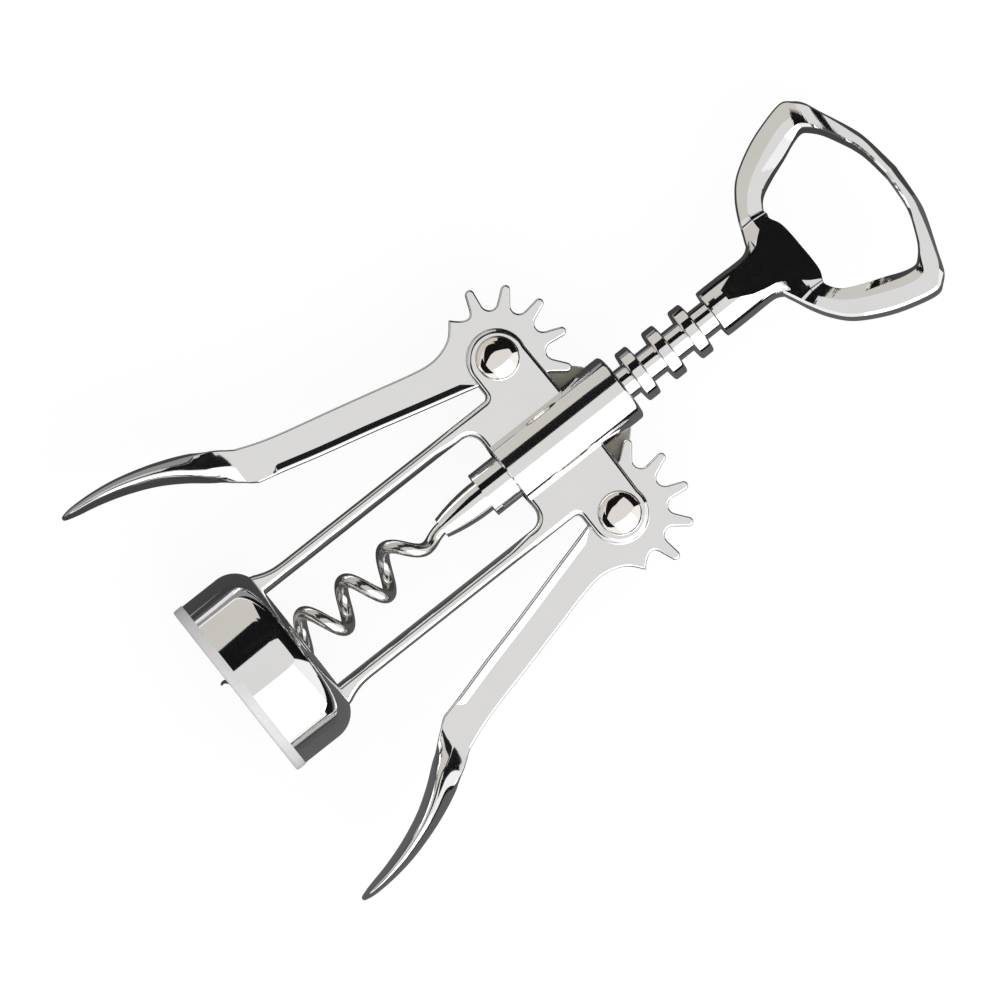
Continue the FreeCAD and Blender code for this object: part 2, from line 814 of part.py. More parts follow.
straight_outline(
    flute,
    [
        ("flute_foot", "neck_radius"),
        ("tongue_top + 2", "lip_level - 2 * (neck_radius - lip_level) / (tongue_top - flute_foot)"),
        ("tongue_top + 2", "neck_radius + 1"),
        ("flute_foot", "neck_radius + 1"),
    ],
)
cut(handle, flute, "2 * flute_half", "LifterFluteCut", middle=True)
rod_hole = new_sketch(handle, "RodHole", plane="XZ_Plane", lift="-neck_bottom")
circle_outline(rod_hole, "0", "0", "rod_radius")
cut(handle, rod_hole, "rod_top - neck_bottom", "RodHoleCut")
handle.Placement = FreeCAD.Placement(
    FreeCAD.Vector(0, 0, 0), FreeCAD.Rotation(FreeCAD.Vector(0, 1, 0), value("handle_spin"))
)

doc.recompute()
for thing in doc.Objects:
    if "Invalid" in thing.State or "Error" in thing.State:
        raise ValueError(f"{thing.Label} did not build")

parts = [
    bell,
    bell_ring,
    front_frame,
    rear_frame,
    left_rivet,
    right_rivet,
    left_rivet_cap,
    right_rivet_cap,
    left_front_washer,
    left_rear_washer,
    right_front_washer,
    right_rear_washer,
    left_wing,
    right_wing,
    rack_spindle,
    spindle_rod,
    worm_holder,
    worm,
    handle,
]
for part in parts:
    if part.Shape.isNull() or not part.Shape.isValid():
        raise ValueError(f"{part.Label} has no valid shape")
    solids = len(part.Shape.Solids)
    box = part.Shape.BoundBox
    print(part.Label, solids, round(part.Shape.Volume, 1), box)
    part.Shape.exportStep(f"parts/{part.Label}.step")
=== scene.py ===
import math

import bmesh
import bpy
from mathutils import Matrix, Vector
from mathutils.geometry import interpolate_bezier


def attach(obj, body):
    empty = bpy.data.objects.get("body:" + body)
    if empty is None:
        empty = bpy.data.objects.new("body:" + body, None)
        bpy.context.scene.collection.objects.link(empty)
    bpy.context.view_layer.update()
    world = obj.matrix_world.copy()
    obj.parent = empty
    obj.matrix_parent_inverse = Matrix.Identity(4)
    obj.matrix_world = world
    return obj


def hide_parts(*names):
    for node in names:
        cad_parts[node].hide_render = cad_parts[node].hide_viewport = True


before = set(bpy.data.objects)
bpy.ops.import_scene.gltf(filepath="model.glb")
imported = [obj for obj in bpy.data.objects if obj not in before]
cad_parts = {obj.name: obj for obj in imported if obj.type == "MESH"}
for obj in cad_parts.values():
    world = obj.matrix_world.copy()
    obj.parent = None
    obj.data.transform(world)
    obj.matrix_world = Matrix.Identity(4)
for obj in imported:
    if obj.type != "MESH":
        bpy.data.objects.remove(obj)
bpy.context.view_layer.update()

mm = 0.001
print("frame loaded")


# A socket that takes part in sums, and the one way that any other node is made
class Field:
    def __init__(self, tree, socket):
        self.tree = tree
        self.socket = socket

    def node(self, kind, settings=None, inputs=None, out=0):
        return makeNode(self.tree, kind, settings, inputs, out)

    def sum(self, operation, *terms):
        return self.node("ShaderNodeMath", {"operation": operation}, dict(enumerate(terms)))

    def __add__(self, other):
        return self.sum("ADD", self, other)

    def __radd__(self, other):
        return self.sum("ADD", other, self)

    def __sub__(self, other):
        return self.sum("SUBTRACT", self, other)

    def __rsub__(self, other):
        return self.sum("SUBTRACT", other, self)

    def __mul__(self, other):
        return self.sum("MULTIPLY", self, other)

    def __rmul__(self, other):
        return self.sum("MULTIPLY", other, self)

    def __truediv__(self, other):
        return self.sum("DIVIDE", self, other)

    def clamp(self, low=0.0, high=1.0):
        return self.node("ShaderNodeClamp", None, {"Value": self, "Min": low, "Max": high})

    def larger(self, other):
        return self.sum("MAXIMUM", self, other)

    def cos(self):
        return self.sum("COSINE", self)

    def sin(self):
        return self.sum("SINE", self)


def makeNode(tree, kind, settings=None, inputs=None, out=0):
    node = tree.nodes.new(kind)
    for name, setting in (settings or {}).items():
        setattr(node, name, setting)
    for name, given in (inputs or {}).items():
        if isinstance(given, Field):
            tree.links.new(given.socket, node.inputs[name])
        else:
            node.inputs[name].default_value = given
    return Field(tree, node.outputs[out]) if node.outputs else node


def grey(level):
    return (level, level, level, 1.0)


def newMaterial(name):
    material = bpy.data.materials.new(name)
    material.use_nodes = True
    tree = material.node_tree
    return material, tree, tree.nodes["Principled BSDF"]


# Noise from 0 to 1; the grain is its scale and its detail
def noise(tree, place, grain):
    scale, detail = grain
    inputs = {"Vector": place, "Scale": scale, "Detail": detail}
    return makeNode(tree, "ShaderNodeTexNoise", None, inputs, "Fac")


bumpDepth = 0.1 * mm


# Polished or brushed metal: smudges and wear dull the gloss, specks and scratches bend reflections
def metal(name, finish):
    material, tree, shader = newMaterial(name)
    place = makeNode(tree, "ShaderNodeTexCoord", out="Object")
    smudge = noise(tree, place, finish["smudgeGrain"])
    speckle = noise(tree, place, finish["speckleGrain"])
    stretched = makeNode(tree, "ShaderNodeMapping", None,
                         {"Vector": place, "Scale": finish["scratchStretch"]})
    scratch = noise(tree, stretched, finish["scratchGrain"])
    wear = ((scratch - finish["wearFrom"]) * finish["wearContrast"]).clamp()
    tone = makeNode(tree, "ShaderNodeMix", {"data_type": "RGBA"},
                    {"Factor": smudge, "A": finish["tintA"], "B": finish["tintB"]}, "Result")
    roughness = finish["roughness"] + smudge * finish["smudge"] + wear * finish["scratch"]
    height = speckle * finish["speckle"] + scratch * finish["scratchDepth"]
    bump = makeNode(tree, "ShaderNodeBump", None,
                    {"Height": height, "Strength": finish["bump"], "Distance": bumpDepth})
    tree.links.new(tone.socket, shader.inputs["Base Color"])
    tree.links.new(roughness.clamp(*finish["roughnessEnds"]).socket, shader.inputs["Roughness"])
    tree.links.new(bump.socket, shader.inputs["Normal"])
    shader.inputs["Metallic"].default_value = 1.0
    return material


mirrorFinish = {
    "tintA": (0.82, 0.82, 0.815, 1.0), "tintB": (0.90, 0.90, 0.90, 1.0),
    "roughness": 0.03, "roughnessEnds": (0.02, 0.9), "smudge": 0.04, "scratch": 0.05,
    "smudgeGrain": (90.0, 4.0), "speckleGrain": (2200.0, 3.0), "scratchGrain": (500.0, 5.0),
    "scratchStretch": (1.0, 0.05, 1.0), "wearFrom": 0.62, "wearContrast": 6.0,
    "speckle": 0.03, "scratchDepth": 0.03, "bump": 0.3,
}
sleeveFinish = dict(mirrorFinish, roughness=0.06, smudge=0.05, bump=0.4)
satinFinish = dict(
    mirrorFinish, tintA=(0.84, 0.84, 0.84, 1.0), tintB=(0.90, 0.90, 0.905, 1.0),
    roughness=0.06, smudge=0.05, scratch=0.06, scratchStretch=(1.0, 0.2, 1.0),
    speckle=0.06, scratchDepth=0.05, bump=0.4,
)
# painted shade: a dark brownish tone for the plate's back above the split, where it shows in the recess
# between the two plates
innerShadeFinish = dict(
    satinFinish, tintA=(0.24, 0.225, 0.19, 1.0), tintB=(0.34, 0.32, 0.28, 1.0),
    roughness=0.38, smudge=0.12, speckle=0.3,
)
domeFinish = dict(
    mirrorFinish, tintA=(0.86, 0.82, 0.77, 1.0), tintB=(0.93, 0.90, 0.86, 1.0),
    scratchStretch=(1.0, 1.0, 1.0),
)
wormFinish = dict(
    mirrorFinish, tintA=(0.62, 0.61, 0.59, 1.0), tintB=(0.78, 0.77, 0.75, 1.0),
    roughness=0.12, smudge=0.08, speckle=0.16, bump=0.6,
)
rodFinish = dict(wormFinish, roughness=0.2)


# Moulded plastic: cloudy colour, a fine orange-peel skin and a little light let through
def plastic(name, look):
    material, tree, shader = newMaterial(name)
    place = makeNode(tree, "ShaderNodeTexCoord", out="Object")
    cloud = noise(tree, place, look["cloudGrain"])
    grain = noise(tree, place, look["skinGrain"])
    tone = makeNode(tree, "ShaderNodeMix", {"data_type": "RGBA"},
                    {"Factor": cloud, "A": look["dark"], "B": look["light"]}, "Result")
    bump = makeNode(tree, "ShaderNodeBump", None,
                    {"Height": grain, "Strength": look["bump"], "Distance": bumpDepth})
    tree.links.new(tone.socket, shader.inputs["Base Color"])
    roughness = look["roughness"] + grain * look["unevenness"]
    tree.links.new(roughness.socket, shader.inputs["Roughness"])
    tree.links.new(bump.socket, shader.inputs["Normal"])
    shader.inputs["Subsurface Weight"].default_value = look["glow"]
    shader.inputs["Subsurface Scale"].default_value = look["glowDepth"]
    shader.inputs["IOR"].default_value = look["ior"]
    return material


ringLook = {
    "dark": (0.70, 0.69, 0.69, 1.0), "light": (0.84, 0.83, 0.82, 1.0),
    "cloudGrain": (120.0, 3.0), "skinGrain": (1500.0, 2.0), "bump": 0.15,
    "roughness": 0.28, "unevenness": 0.1, "glow": 0.35, "glowDepth": 2 * mm, "ior": 1.49,
}
washerLook = dict(ringLook, dark=(0.72, 0.71, 0.68, 1.0), light=(0.8, 0.79, 0.76, 1.0))

finishes = {
    "mirror_chrome": metal("mirrorChrome", mirrorFinish),
    "satin_chrome": metal("satinChrome", satinFinish),
    "sleeve_chrome": metal("sleeveChrome", sleeveFinish),
    # inner_face is the painted shade finish for the plate's back
    "inner_face": metal("innerPaintedShade", innerShadeFinish),
    "dome_chrome": metal("domeChrome", domeFinish),
    "worm_steel": metal("wormSteel", wormFinish),
    "rod_steel": metal("rodSteel", rodFinish),
    "ring_plastic": plastic("ringPlastic", ringLook),
    "washer_plastic": plastic("washerPlastic", washerLook),
}
print("materials made")


mergeGap = 0.0005  # millimetres


# Closes up a mesh in millimetres, gives it its finish and ties it to its body
def pieceFrom(name, bm, slot, body, nodes, sharp, others=()):
    bmesh.ops.remove_doubles(bm, verts=bm.verts, dist=mergeGap)
    bmesh.ops.dissolve_degenerate(bm, edges=bm.edges, dist=mergeGap)
    bmesh.ops.recalc_face_normals(bm, faces=bm.faces)
    bmesh.ops.scale(bm, vec=(mm, mm, mm), verts=bm.verts)
    sharpen(bm, sharp)
    mesh = bpy.data.meshes.new(name)
    bm.to_mesh(mesh)
    bm.free()
    dressed(name, mesh, slot, body, nodes, others)


# Smooth shading but for steep edges and those marked as creases
def sharpen(bm, limit):
    for face in bm.faces:
        face.smooth = True
    for edge in bm.edges:
        edge.smooth = edge.calc_face_angle(0.0) < math.radians(limit) and not edge.seam
        edge.seam = False


# A seam marks a crease until the piece is sharpened
def markCrease(bm, pairs):
    for a, b in pairs:
        edge = bm.edges.get((a, b))
        if edge:
            edge.seam = True


# Gives a mesh its finishes, and its place among the part's nodes and bodies
def dressed(name, mesh, slot, body, nodes, others=()):
    if not mesh.materials:
        for finish in (slot, *others):
            mesh.materials.append(finishes[finish])
    piece = bpy.data.objects.new(name, mesh)
    bpy.context.scene.collection.objects.link(piece)
    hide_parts(*nodes)
    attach(piece, body)


# A smooth line through every point
def smoothLine(points, steps):
    line = []
    for number in range(len(points) - 1):
        start, end = points[number], points[number + 1]
        leave = (end - points[max(number - 1, 0)]) / 2
        arrive = (points[min(number + 2, len(points) - 1)] - start) / 2
        for step in range(steps):
            t = step / steps
            line.append(start * (2 * t ** 3 - 3 * t ** 2 + 1) + leave * (t ** 3 - 2 * t ** 2 + t)
                        + end * (3 * t ** 2 - 2 * t ** 3) + arrive * (t ** 3 - t ** 2))
    return line + [points[-1]]


# Points on a circle between two angles in degrees
def arc(centreX, centreY, radius, first, last, steps):
    turned = [math.radians(first + (last - first) * step / steps) for step in range(steps + 1)]
    return [Vector((centreX + radius * math.cos(a), centreY + radius * math.sin(a))) for a in turned]


# Moves each point of an outline inwards by its own amount, along the middle of its two edges
def inset(outline, amounts, closed=True):
    moved = []
    count = len(outline)
    for number, point in enumerate(outline):
        before = outline[number - 1] if closed or number else None
        after = outline[(number + 1) % count] if closed or number < count - 1 else None
        sides = []
        for a, b in ((before, point), (point, after)):
            if a is not None and b is not None and (b - a).length > 1e-6:
                along = (b - a).normalized()
                sides.append(Vector((-along.y, along.x)))
        middle = sum(sides, Vector((0.0, 0.0)))
        middle.normalize()
        reach = amounts[number] / max(middle.dot(sides[0]), 0.5)  # at most twice the amount
        moved.append(point + middle * reach)
    return moved


# A quarter round as pairs that run from (1, 0) to (0, 1)
def quarterRound(steps):
    parts = [math.pi / 2 * step / steps for step in range(steps + 1)]
    return [(1 - math.sin(part), 1 - math.cos(part)) for part in parts]


# Insets and heights down a rounded and sloping edge, from the front face to the back face
def edgeRings(front, back, roundFront, roundBack, slope, support):
    rings = [(roundFront + support, front)]
    rings += [(roundFront * left, front - roundFront * gone) for left, gone in quarterRound(6)]
    rings += [(roundBack * gone, back + roundBack * left) for left, gone in quarterRound(6)]
    return [(depth + slope * (height - back) / (front - back), height) for depth, height in rings]


# A flat face within loops of vertices; the loops after the first are holes
def fillFlat(bm, loops):
    edges = []
    for loop in loops:
        for a, b in zip(loop, loop[1:] + loop[:1]):
            edges.append(bm.edges.get((a, b)) or bm.edges.new((a, b)))
    bmesh.ops.triangle_fill(bm, edges=edges, use_beauty=True)


# A band of faces between two rows of as many vertices
def bridge(bm, upper, lower, closed=True):
    count = len(upper)
    for number in range(count if closed else count - 1):
        after = (number + 1) % count
        bm.faces.new((upper[number], lower[number], lower[after], upper[after]))


# Worm: wire that leaves the holder on the axis, swings out and winds to a point
wormSizes = {
    "Top": 60.0, "Tip": -1.3, "Swing Top": 54.5, "Swing Bottom": 42.2, "Coil Radius": 4.0,
    "Pitch": 10.8, "Left Height": 31.4, "Wire Radius": 1.45, "Point Radius": 0.25,
}
# how fast the swing winds, how wide the tip's turn is, and over which part of a pitch the turn
# narrows and the wire tapers
wormShares = {"Stretch": 0.607, "Tip Radius": 0.72, "Tip Turn": 0.5, "Taper Turn": 0.62}


def buildWorm():
    tree = bpy.data.node_groups.new("wormTree", "GeometryNodeTree")
    tree.interface.new_socket("Geometry", in_out="INPUT", socket_type="NodeSocketGeometry")
    sockets = {}
    lengths = {title: size * mm for title, size in wormSizes.items()}
    for title, size in {**lengths, **wormShares}.items():
        socket = tree.interface.new_socket(title, in_out="INPUT", socket_type="NodeSocketFloat")
        sockets[title] = (socket.identifier, size)
    tree.interface.new_socket("Geometry", in_out="OUTPUT", socket_type="NodeSocketGeometry")
    given = tree.nodes.new("NodeGroupInput")
    size = {title: Field(tree, given.outputs[title]) for title in sockets}
    line = makeNode(tree, "GeometryNodeCurvePrimitiveLine")
    line = makeNode(tree, "GeometryNodeResampleCurve", None, {"Curve": line, "Count": 420})
    factor = makeNode(tree, "GeometryNodeSplineParameter")
    height = size["Top"] + (size["Tip"] - size["Top"]) * factor
    swing = ((size["Swing Top"] - height) / (size["Swing Top"] - size["Swing Bottom"])).clamp()
    eased = swing * swing * (3.0 - 2.0 * swing)
    tipShare = ((height - size["Tip"]) / (size["Tip Turn"] * size["Pitch"])).clamp()
    radius = size["Coil Radius"] * eased * (size["Tip Radius"] + (1.0 - size["Tip Radius"]) * tipShare)
    above = (height - size["Swing Bottom"]).larger(0.0)
    wound = height - above * (1.0 - size["Stretch"])
    angle = math.pi - 2.0 * math.pi * ((wound - size["Left Height"]) / size["Pitch"])
    spot = makeNode(tree, "ShaderNodeCombineXYZ", None,
                    {"X": radius * angle.cos(), "Y": height, "Z": radius * angle.sin()})
    placed = makeNode(tree, "GeometryNodeSetPosition", None, {"Geometry": line, "Position": spot})
    taper = ((height - size["Tip"]) / (size["Taper Turn"] * size["Pitch"])).clamp()
    wire = size["Point Radius"] + (size["Wire Radius"] - size["Point Radius"]) * taper
    ring = makeNode(tree, "GeometryNodeCurvePrimitiveCircle", None, {"Resolution": 28, "Radius": 1.0})
    tube = makeNode(tree, "GeometryNodeCurveToMesh", None,
                    {"Curve": placed, "Profile Curve": ring, "Scale": wire, "Fill Caps": True})
    tube = makeNode(tree, "GeometryNodeRealizeInstances", None, {"Geometry": tube})
    tube = makeNode(tree, "GeometryNodeSetMaterial", None,
                    {"Geometry": tube, "Material": finishes["worm_steel"]})
    final = tree.nodes.new("NodeGroupOutput")
    tree.links.new(tube.socket, final.inputs[0])
    mesh = grownMesh("worm_coil", tree, sockets)
    mesh.shade_smooth()
    dressed("worm_coil", mesh, "worm_steel", "screw", ["worm"])


# Runs a tree once and keeps its result as a plain mesh
def grownMesh(name, tree, sockets):
    seed = bpy.data.objects.new(name + "_seed", bpy.data.meshes.new(name + "_seed"))
    bpy.context.scene.collection.objects.link(seed)
    modifier = seed.modifiers.new("grow", "NODES")
    modifier.node_group = tree
    for identifier, number in sockets.values():
        modifier[identifier] = number
    view = bpy.context.evaluated_depsgraph_get()
    mesh = bpy.data.meshes.new_from_object(seed.evaluated_get(view))
    mesh.name = name
    seed.modifiers.remove(modifier)
    bpy.data.objects.remove(seed)
    return mesh


buildWorm()
print("worm made")


# Wings: gear sector, flat blade with a raised rim and a deep palm grip, in one piece
wingSizes = {
    "pivot": (20.2, 84.5), "half": 1.6, "edge": 0.4, "bore": 2.05,
    "root": 10.1, "tip": 15.3, "tipHalf": 0.95, "rootHalf": 1.65, "seat": 8.6,
    "firstTooth": -15.0, "toothStep": 30.0, "teeth": 7, "toothFoot": 1.3, "crownSteps": 12,
    # curves of the valleys, and of the last one, which ends in the spur of the blade's outer side
    "valleyPull": 1.75, "valleyPoints": 13, "spurPull": 2.0, "spurBend": (-9.9, -0.6), "spurPoints": 9,
    # step from the blade's inner side to the gear's root circle, before the first tooth
    "heel": -5.5, "heelStep": 0.4, "heelTurn": 13.0,
    "rimHeight": 0.33, "rimWidth": 1.4, "rimEnds": (-50.6, -6.8), "rimRuns": (0.9, 3.0),
    "faceMargin": 0.12, "crestMargin": 0.06, "crestWidth": 0.25, "crestRound": 0.2,
    "across": 30, "around": 32, "sharp": 33.0,
    "outerSide": [(-12.4, -2.9), (-9.6, -5.4), (-8.2, -8.6), (-7.9, -12.0), (-8.7, -16.5),
                  (-10.6, -24.0), (-13.1, -34.0), (-15.4, -43.5), (-17.0, -49.0), (-18.9, -54.0)],
    "innerSide": [(-10.3, -54.0), (-9.0, -48.8), (-6.7, -40.4), (-3.9, -29.2), (-0.9, -18.0),
                  (2.0, -7.0)],
    # height, outer edge, inner edge, half depth in the middle, at the outer edge and at the
    # inner edge, and how round the section is
    "grip": [(-54.0, -18.9, -10.3, 1.6, 1.6, 1.6, 0.0), (-55.2, -19.7, -11.1, 1.68, 1.95, 1.35, 0.0),
             (-56.4, -20.6, -12.1, 2.15, 2.45, 1.2, 0.0), (-58.0, -21.7, -13.3, 3.0, 3.15, 1.0, 0.1),
             (-60.0, -22.9, -15.0, 4.1, 3.9, 0.8, 0.4), (-62.0, -24.1, -16.4, 5.2, 3.8, 0.6, 0.8),
             (-66.0, -25.9, -19.5, 7.1, 2.0, 0.5, 1.0), (-71.0, -27.7, -22.6, 8.1, 0.5, 0.5, 1.0),
             (-77.0, -29.3, -25.2, 8.1, 0.5, 0.5, 1.0), (-82.5, -30.1, -26.9, 7.4, 0.5, 0.5, 1.0),
             (-87.0, -30.3, -27.9, 5.8, 0.5, 0.5, 1.0), (-89.2, -30.1, -28.5, 3.8, 0.4, 0.4, 1.0),
             (-90.2, -29.8, -28.9, 1.9, 0.3, 0.3, 1.0), (-90.4, -29.5, -29.2, 0.6, 0.2, 0.2, 1.0)],
}


# Teeth from the first to the last, joined by round valleys
def gearOutline(s):
    points = []
    for number in range(s["teeth"]):
        turn = math.radians(s["firstTooth"] + s["toothStep"] * number)
        along = Vector((math.cos(turn), math.sin(turn)))
        across = Vector((-along.y, along.x))
        shoulder = s["tip"] - s["tipHalf"]
        foot = s["root"] + s["toothFoot"]
        slope = (s["tipHalf"] - s["rootHalf"]) / (shoulder - s["seat"])
        footHalf = s["tipHalf"] + slope * (foot - shoulder)
        tooth = [along * foot - across * footHalf, along * shoulder - across * s["tipHalf"]]
        for step in range(1, s["crownSteps"]):
            part = math.pi * step / s["crownSteps"]
            tooth.append(along * (shoulder + s["tipHalf"] * math.sin(part))
                         - across * s["tipHalf"] * math.cos(part))
        tooth += [along * shoulder + across * s["tipHalf"], along * foot + across * footHalf]
        if points:
            begin, stop = points[-1], tooth[0]
            leave = begin + (begin - points[-2]).normalized() * s["valleyPull"]
            arrive = stop + (stop - tooth[1]).normalized() * s["valleyPull"]
            points += interpolate_bezier(begin, leave, arrive, stop, s["valleyPoints"])[1:-1]
        points += tooth
    return [Vector(point) for point in points]


# How much of the raised rim a point of the blade's side has
def rimShare(point):
    low, high = wingSizes["rimEnds"]
    lowRun, highRun = wingSizes["rimRuns"]
    inside = min((point.y - low) / lowRun, (high - point.y) / highRun)
    return min(max(inside, 0.0), 1.0)


def buildWing(name, side, body, node):
    s = wingSizes
    gear = gearOutline(s)
    last = gear[-1]
    leave = last + (last - gear[-2]).normalized() * s["spurPull"]
    spur = Vector(s["outerSide"][0])
    valley = interpolate_bezier(last, leave, Vector(s["spurBend"]), spur, s["spurPoints"])[1:]
    outer = smoothLine([Vector(p) for p in s["outerSide"]], 6)[1:]
    inner = smoothLine([Vector(p) for p in s["innerSide"]], 12)
    heelStart = math.degrees(math.asin(s["heel"] / s["root"]))
    heel = [Vector((inner[-1].x + s["heelStep"], s["heel"]))]
    heel += arc(0, 0, s["root"], heelStart, s["firstTooth"] - s["heelTurn"], 4)
    # the outline runs from the inner end of the blade, over the gear, to its outer end
    outline = [Vector(p) for p in inner + heel + gear + valley + outer]
    rims = [rimShare(point) for point in inner] + [0.0] * (len(outline) - len(inner))
    # insets and lifts from the flat face, up the rim and round the edge to the side
    crests = [s["rimHeight"] * rim for rim in rims]
    rounds = [s["edge"] + s["crestRound"] * rim for rim in rims]
    profile = [([s["edge"] + s["faceMargin"] + s["rimWidth"] * rim for rim in rims], [0.0] * len(rims)),
               ([s["edge"] + s["crestMargin"] + s["crestWidth"] * rim for rim in rims], crests)]
    for left, gone in quarterRound(6):
        profile.append(([size * left for size in rounds],
                        [crest - size * gone for crest, size in zip(crests, rounds)]))
    bm = bmesh.new()
    px, py = s["pivot"]
    flip = -1 if side > 0 else 1

    def vertex(point, height):
        return bm.verts.new((flip * point[0] + side * px, point[1] + py, height))

    layers = []
    for face in (1, -1):
        made = []
        for depths, lifts in profile:
            moved = inset(outline, depths, closed=False)
            moved[0].y = outline[0].y
            moved[-1].y = outline[-1].y
            made.append([vertex(point, face * (s["half"] + lift)) for point, lift in zip(moved, lifts)])
        layers += made if face > 0 else list(reversed(made))
    for upper, lower in zip(layers, layers[1:]):
        bridge(bm, upper, lower, closed=False)
    for layer in (layers[0], layers[1], layers[-2], layers[-1]):
        markCrease(bm, [(layer[n], layer[n + 1]) for n in range(len(inner) - 1) if rims[n] > 0.0])
    bore = {}
    ends = {}
    for level, layer in ((s["half"], layers[0]), (-s["half"], layers[-1])):
        hole = [vertex(point, level) for point in arc(0, 0, s["bore"], 0, 360, s["around"])[:-1]]
        bore[level] = hole
        across = [layer[-1]]
        for step in range(1, s["across"]):
            across.append(bm.verts.new(layer[-1].co.lerp(layer[0].co, step / s["across"])))
        across.append(layer[0])
        fillFlat(bm, [layer + across[1:-1], hole])
        ends[level] = across
    bridge(bm, bore[s["half"]], bore[-s["half"]])
    # round the blade's lower end: outer edge down, back face, inner edge up, front face
    endLoop = [layer[-1] for layer in layers] + ends[-s["half"]][1:]
    endLoop += [layer[0] for layer in reversed(layers[:-1])] + list(reversed(ends[s["half"]][1:-1]))
    for across in ends.values():
        markCrease(bm, zip(across, across[1:]))
    outerEnd, innerEnd = s["outerSide"][-1][0], s["innerSide"][0][0]
    centre = side * px + flip * (outerEnd + innerEnd) / 2
    middle = len(layers) // 2
    gaps = [(a.co - b.co).length for a, b in zip(endLoop, endLoop[1:] + endLoop[:1])]
    shape = []
    for number, v in enumerate(endLoop):
        along = sum(gaps[middle:number]) if number >= middle else -sum(gaps[number:middle])
        turn = math.pi + 2 * math.pi * along / sum(gaps)
        shape.append(((v.co.x - centre) * flip * 2 / (innerEnd - outerEnd), v.co.z / s["half"], turn))
    stations = smoothLine([Vector(row) for row in s["grip"]], 5)[1:]
    previous = endLoop
    for height, outerX, innerX, depth, outerDepth, innerDepth, roundness in stations:
        ring = []
        for place, level, turn in shape:
            # a roof that falls from the middle to the edges, turning into an oval further down
            edgeDepth = innerDepth if place > 0.0 else outerDepth
            roof = depth + (edgeDepth - depth) * min(abs(place), 1.0)
            x = place + (math.cos(turn) - place) * roundness
            z = level * roof + (math.sin(turn) * depth - level * roof) * roundness
            ring.append(vertex(((outerX + innerX) / 2 + x * (innerX - outerX) / 2, height), z))
        bridge(bm, previous, ring)
        previous = ring
    bm.faces.new(previous)
    pieceFrom(name, bm, "satin_chrome", body, [node], s["sharp"])


buildWing("left_wing_lever", -1, "left_lever", "left_wing")
buildWing("right_wing_lever", 1, "right_lever", "right_wing")
print("wings made")


# Bell: a cup turned about the spindle, open below and with a wide hole above
bellSizes = {
    "radius": 20.4, "wall": 1.2, "foot": 2.3, "top": 17.3, "shoulder": 6.2, "opening": 11.8,
    "margin": 0.2, "around": 160, "roundSteps": 24, "sharp": 32.0,
}


# Height of the bell's outside at a distance from the axis
def bellHeight(radius):
    s = bellSizes
    over = max(radius - (s["radius"] - s["shoulder"]), 0.0)
    return s["top"] - s["shoulder"] + math.sqrt(max(s["shoulder"] ** 2 - over ** 2, 0.0))


def buildBell():
    s = bellSizes
    inner = s["radius"] - s["wall"]
    under = s["top"] - s["wall"]
    bend, low = s["radius"] - s["shoulder"], s["top"] - s["shoulder"]
    lip, footTop = s["opening"] + s["margin"], s["foot"] + s["margin"]
    # over the top, down the outside, under the foot and up the inside; the margins keep edges crisp
    profile = [(s["opening"], s["top"]), (lip, s["top"]), (bend - s["margin"], s["top"])]
    profile += arc(bend, low, s["shoulder"], 90, 0, s["roundSteps"])
    profile += [(s["radius"], footTop), (s["radius"], s["foot"]), (inner, s["foot"]), (inner, footTop)]
    profile += arc(bend, low, s["shoulder"] - s["wall"], 0, 90, s["roundSteps"])
    profile += [(lip, under), (s["opening"], under)]
    turns = [2 * math.pi * step / s["around"] for step in range(s["around"])]
    bm = bmesh.new()
    rings = [[bm.verts.new((radius * math.cos(a), height, radius * math.sin(a))) for a in turns]
             for radius, height in map(Vector, profile)]
    for upper, lower in zip(rings, rings[1:] + rings[:1]):
        bridge(bm, upper, lower)
    pieceFrom("bell_cup", bm, "mirror_chrome", "frame", ["bell"], s["sharp"])


# Frame halves: plate, round legs and half of the sleeve
frameSizes = {
    "plateBack": 2.1, "plateFront": 3.6, "top": 90.9, "bottom": 71.4, "pivot": (20.2, 84.5),
    "lobe": 6.4, "lobeCentre": (20.2, 84.35), "lobeStart": 103.0, "fillet": 1.2, "corner": 3.0,
    # below the split line the plate turns into legs, whose feet are sunk into the bell
    "legIn": 11.7, "legOut": 15.0, "split": 67.0, "blend": 5.0, "footStep": 1.5, "sunk": 0.12,
    "foot": [(15.0, 24.0), (15.15, 21.6), (15.7, 19.4), (16.7, 17.2), (18.2, 15.6)],
    "edge": 1.05, "legEdge": 0.65, "backEdge": 0.2, "support": 0.12, "buried": 6.25,
    "plateSlope": 0.2, "outerSlope": 0.45, "innerSlope": 0.95,
    "gusset": [(6.25, 98.4), (8.2, 97.4), (10.2, 95.4), (13.9, 91.7), (14.8, 90.65)],
    "sleeve": 7.75, "bore": 6.3, "sleeveTop": 101.2, "mouth": 0.9, "bevel": 0.3, "window": 9.3,
    "around": 40, "sharp": 38.0,
}
near = 0.001  # millimetres within which two places are the same


# From the sleeve's top over the lobe, down the leg's outside and up its inside to the sleeve
def plateOutline(gusseted):
    s = frameSizes
    x, y = s["lobeCentre"]
    low = y - s["lobe"]
    legTop, legStart, foot = s["split"], s["split"] - s["blend"], bellSizes["top"]
    points = s["gusset"] if gusseted else [(s["buried"], s["top"])]
    points = points + arc(x, y, s["lobe"], s["lobeStart"], -90, 30)
    points += arc(s["legOut"] + s["fillet"], low - s["fillet"], s["fillet"], 90, 180, 6)
    points += [(s["legOut"], legTop), (s["legOut"], legStart)]
    points += smoothLine([Vector(p) for p in s["foot"]], 4)
    points += [(s["legIn"] + s["footStep"], foot), (s["legIn"], foot)]
    points += [(s["legIn"], legStart), (s["legIn"], legTop)]
    points += arc(s["legIn"] - s["corner"], s["bottom"] - s["corner"], s["corner"], 0, 90, 12)
    points += [(s["buried"], s["bottom"])]
    return [Vector(point) for point in points]


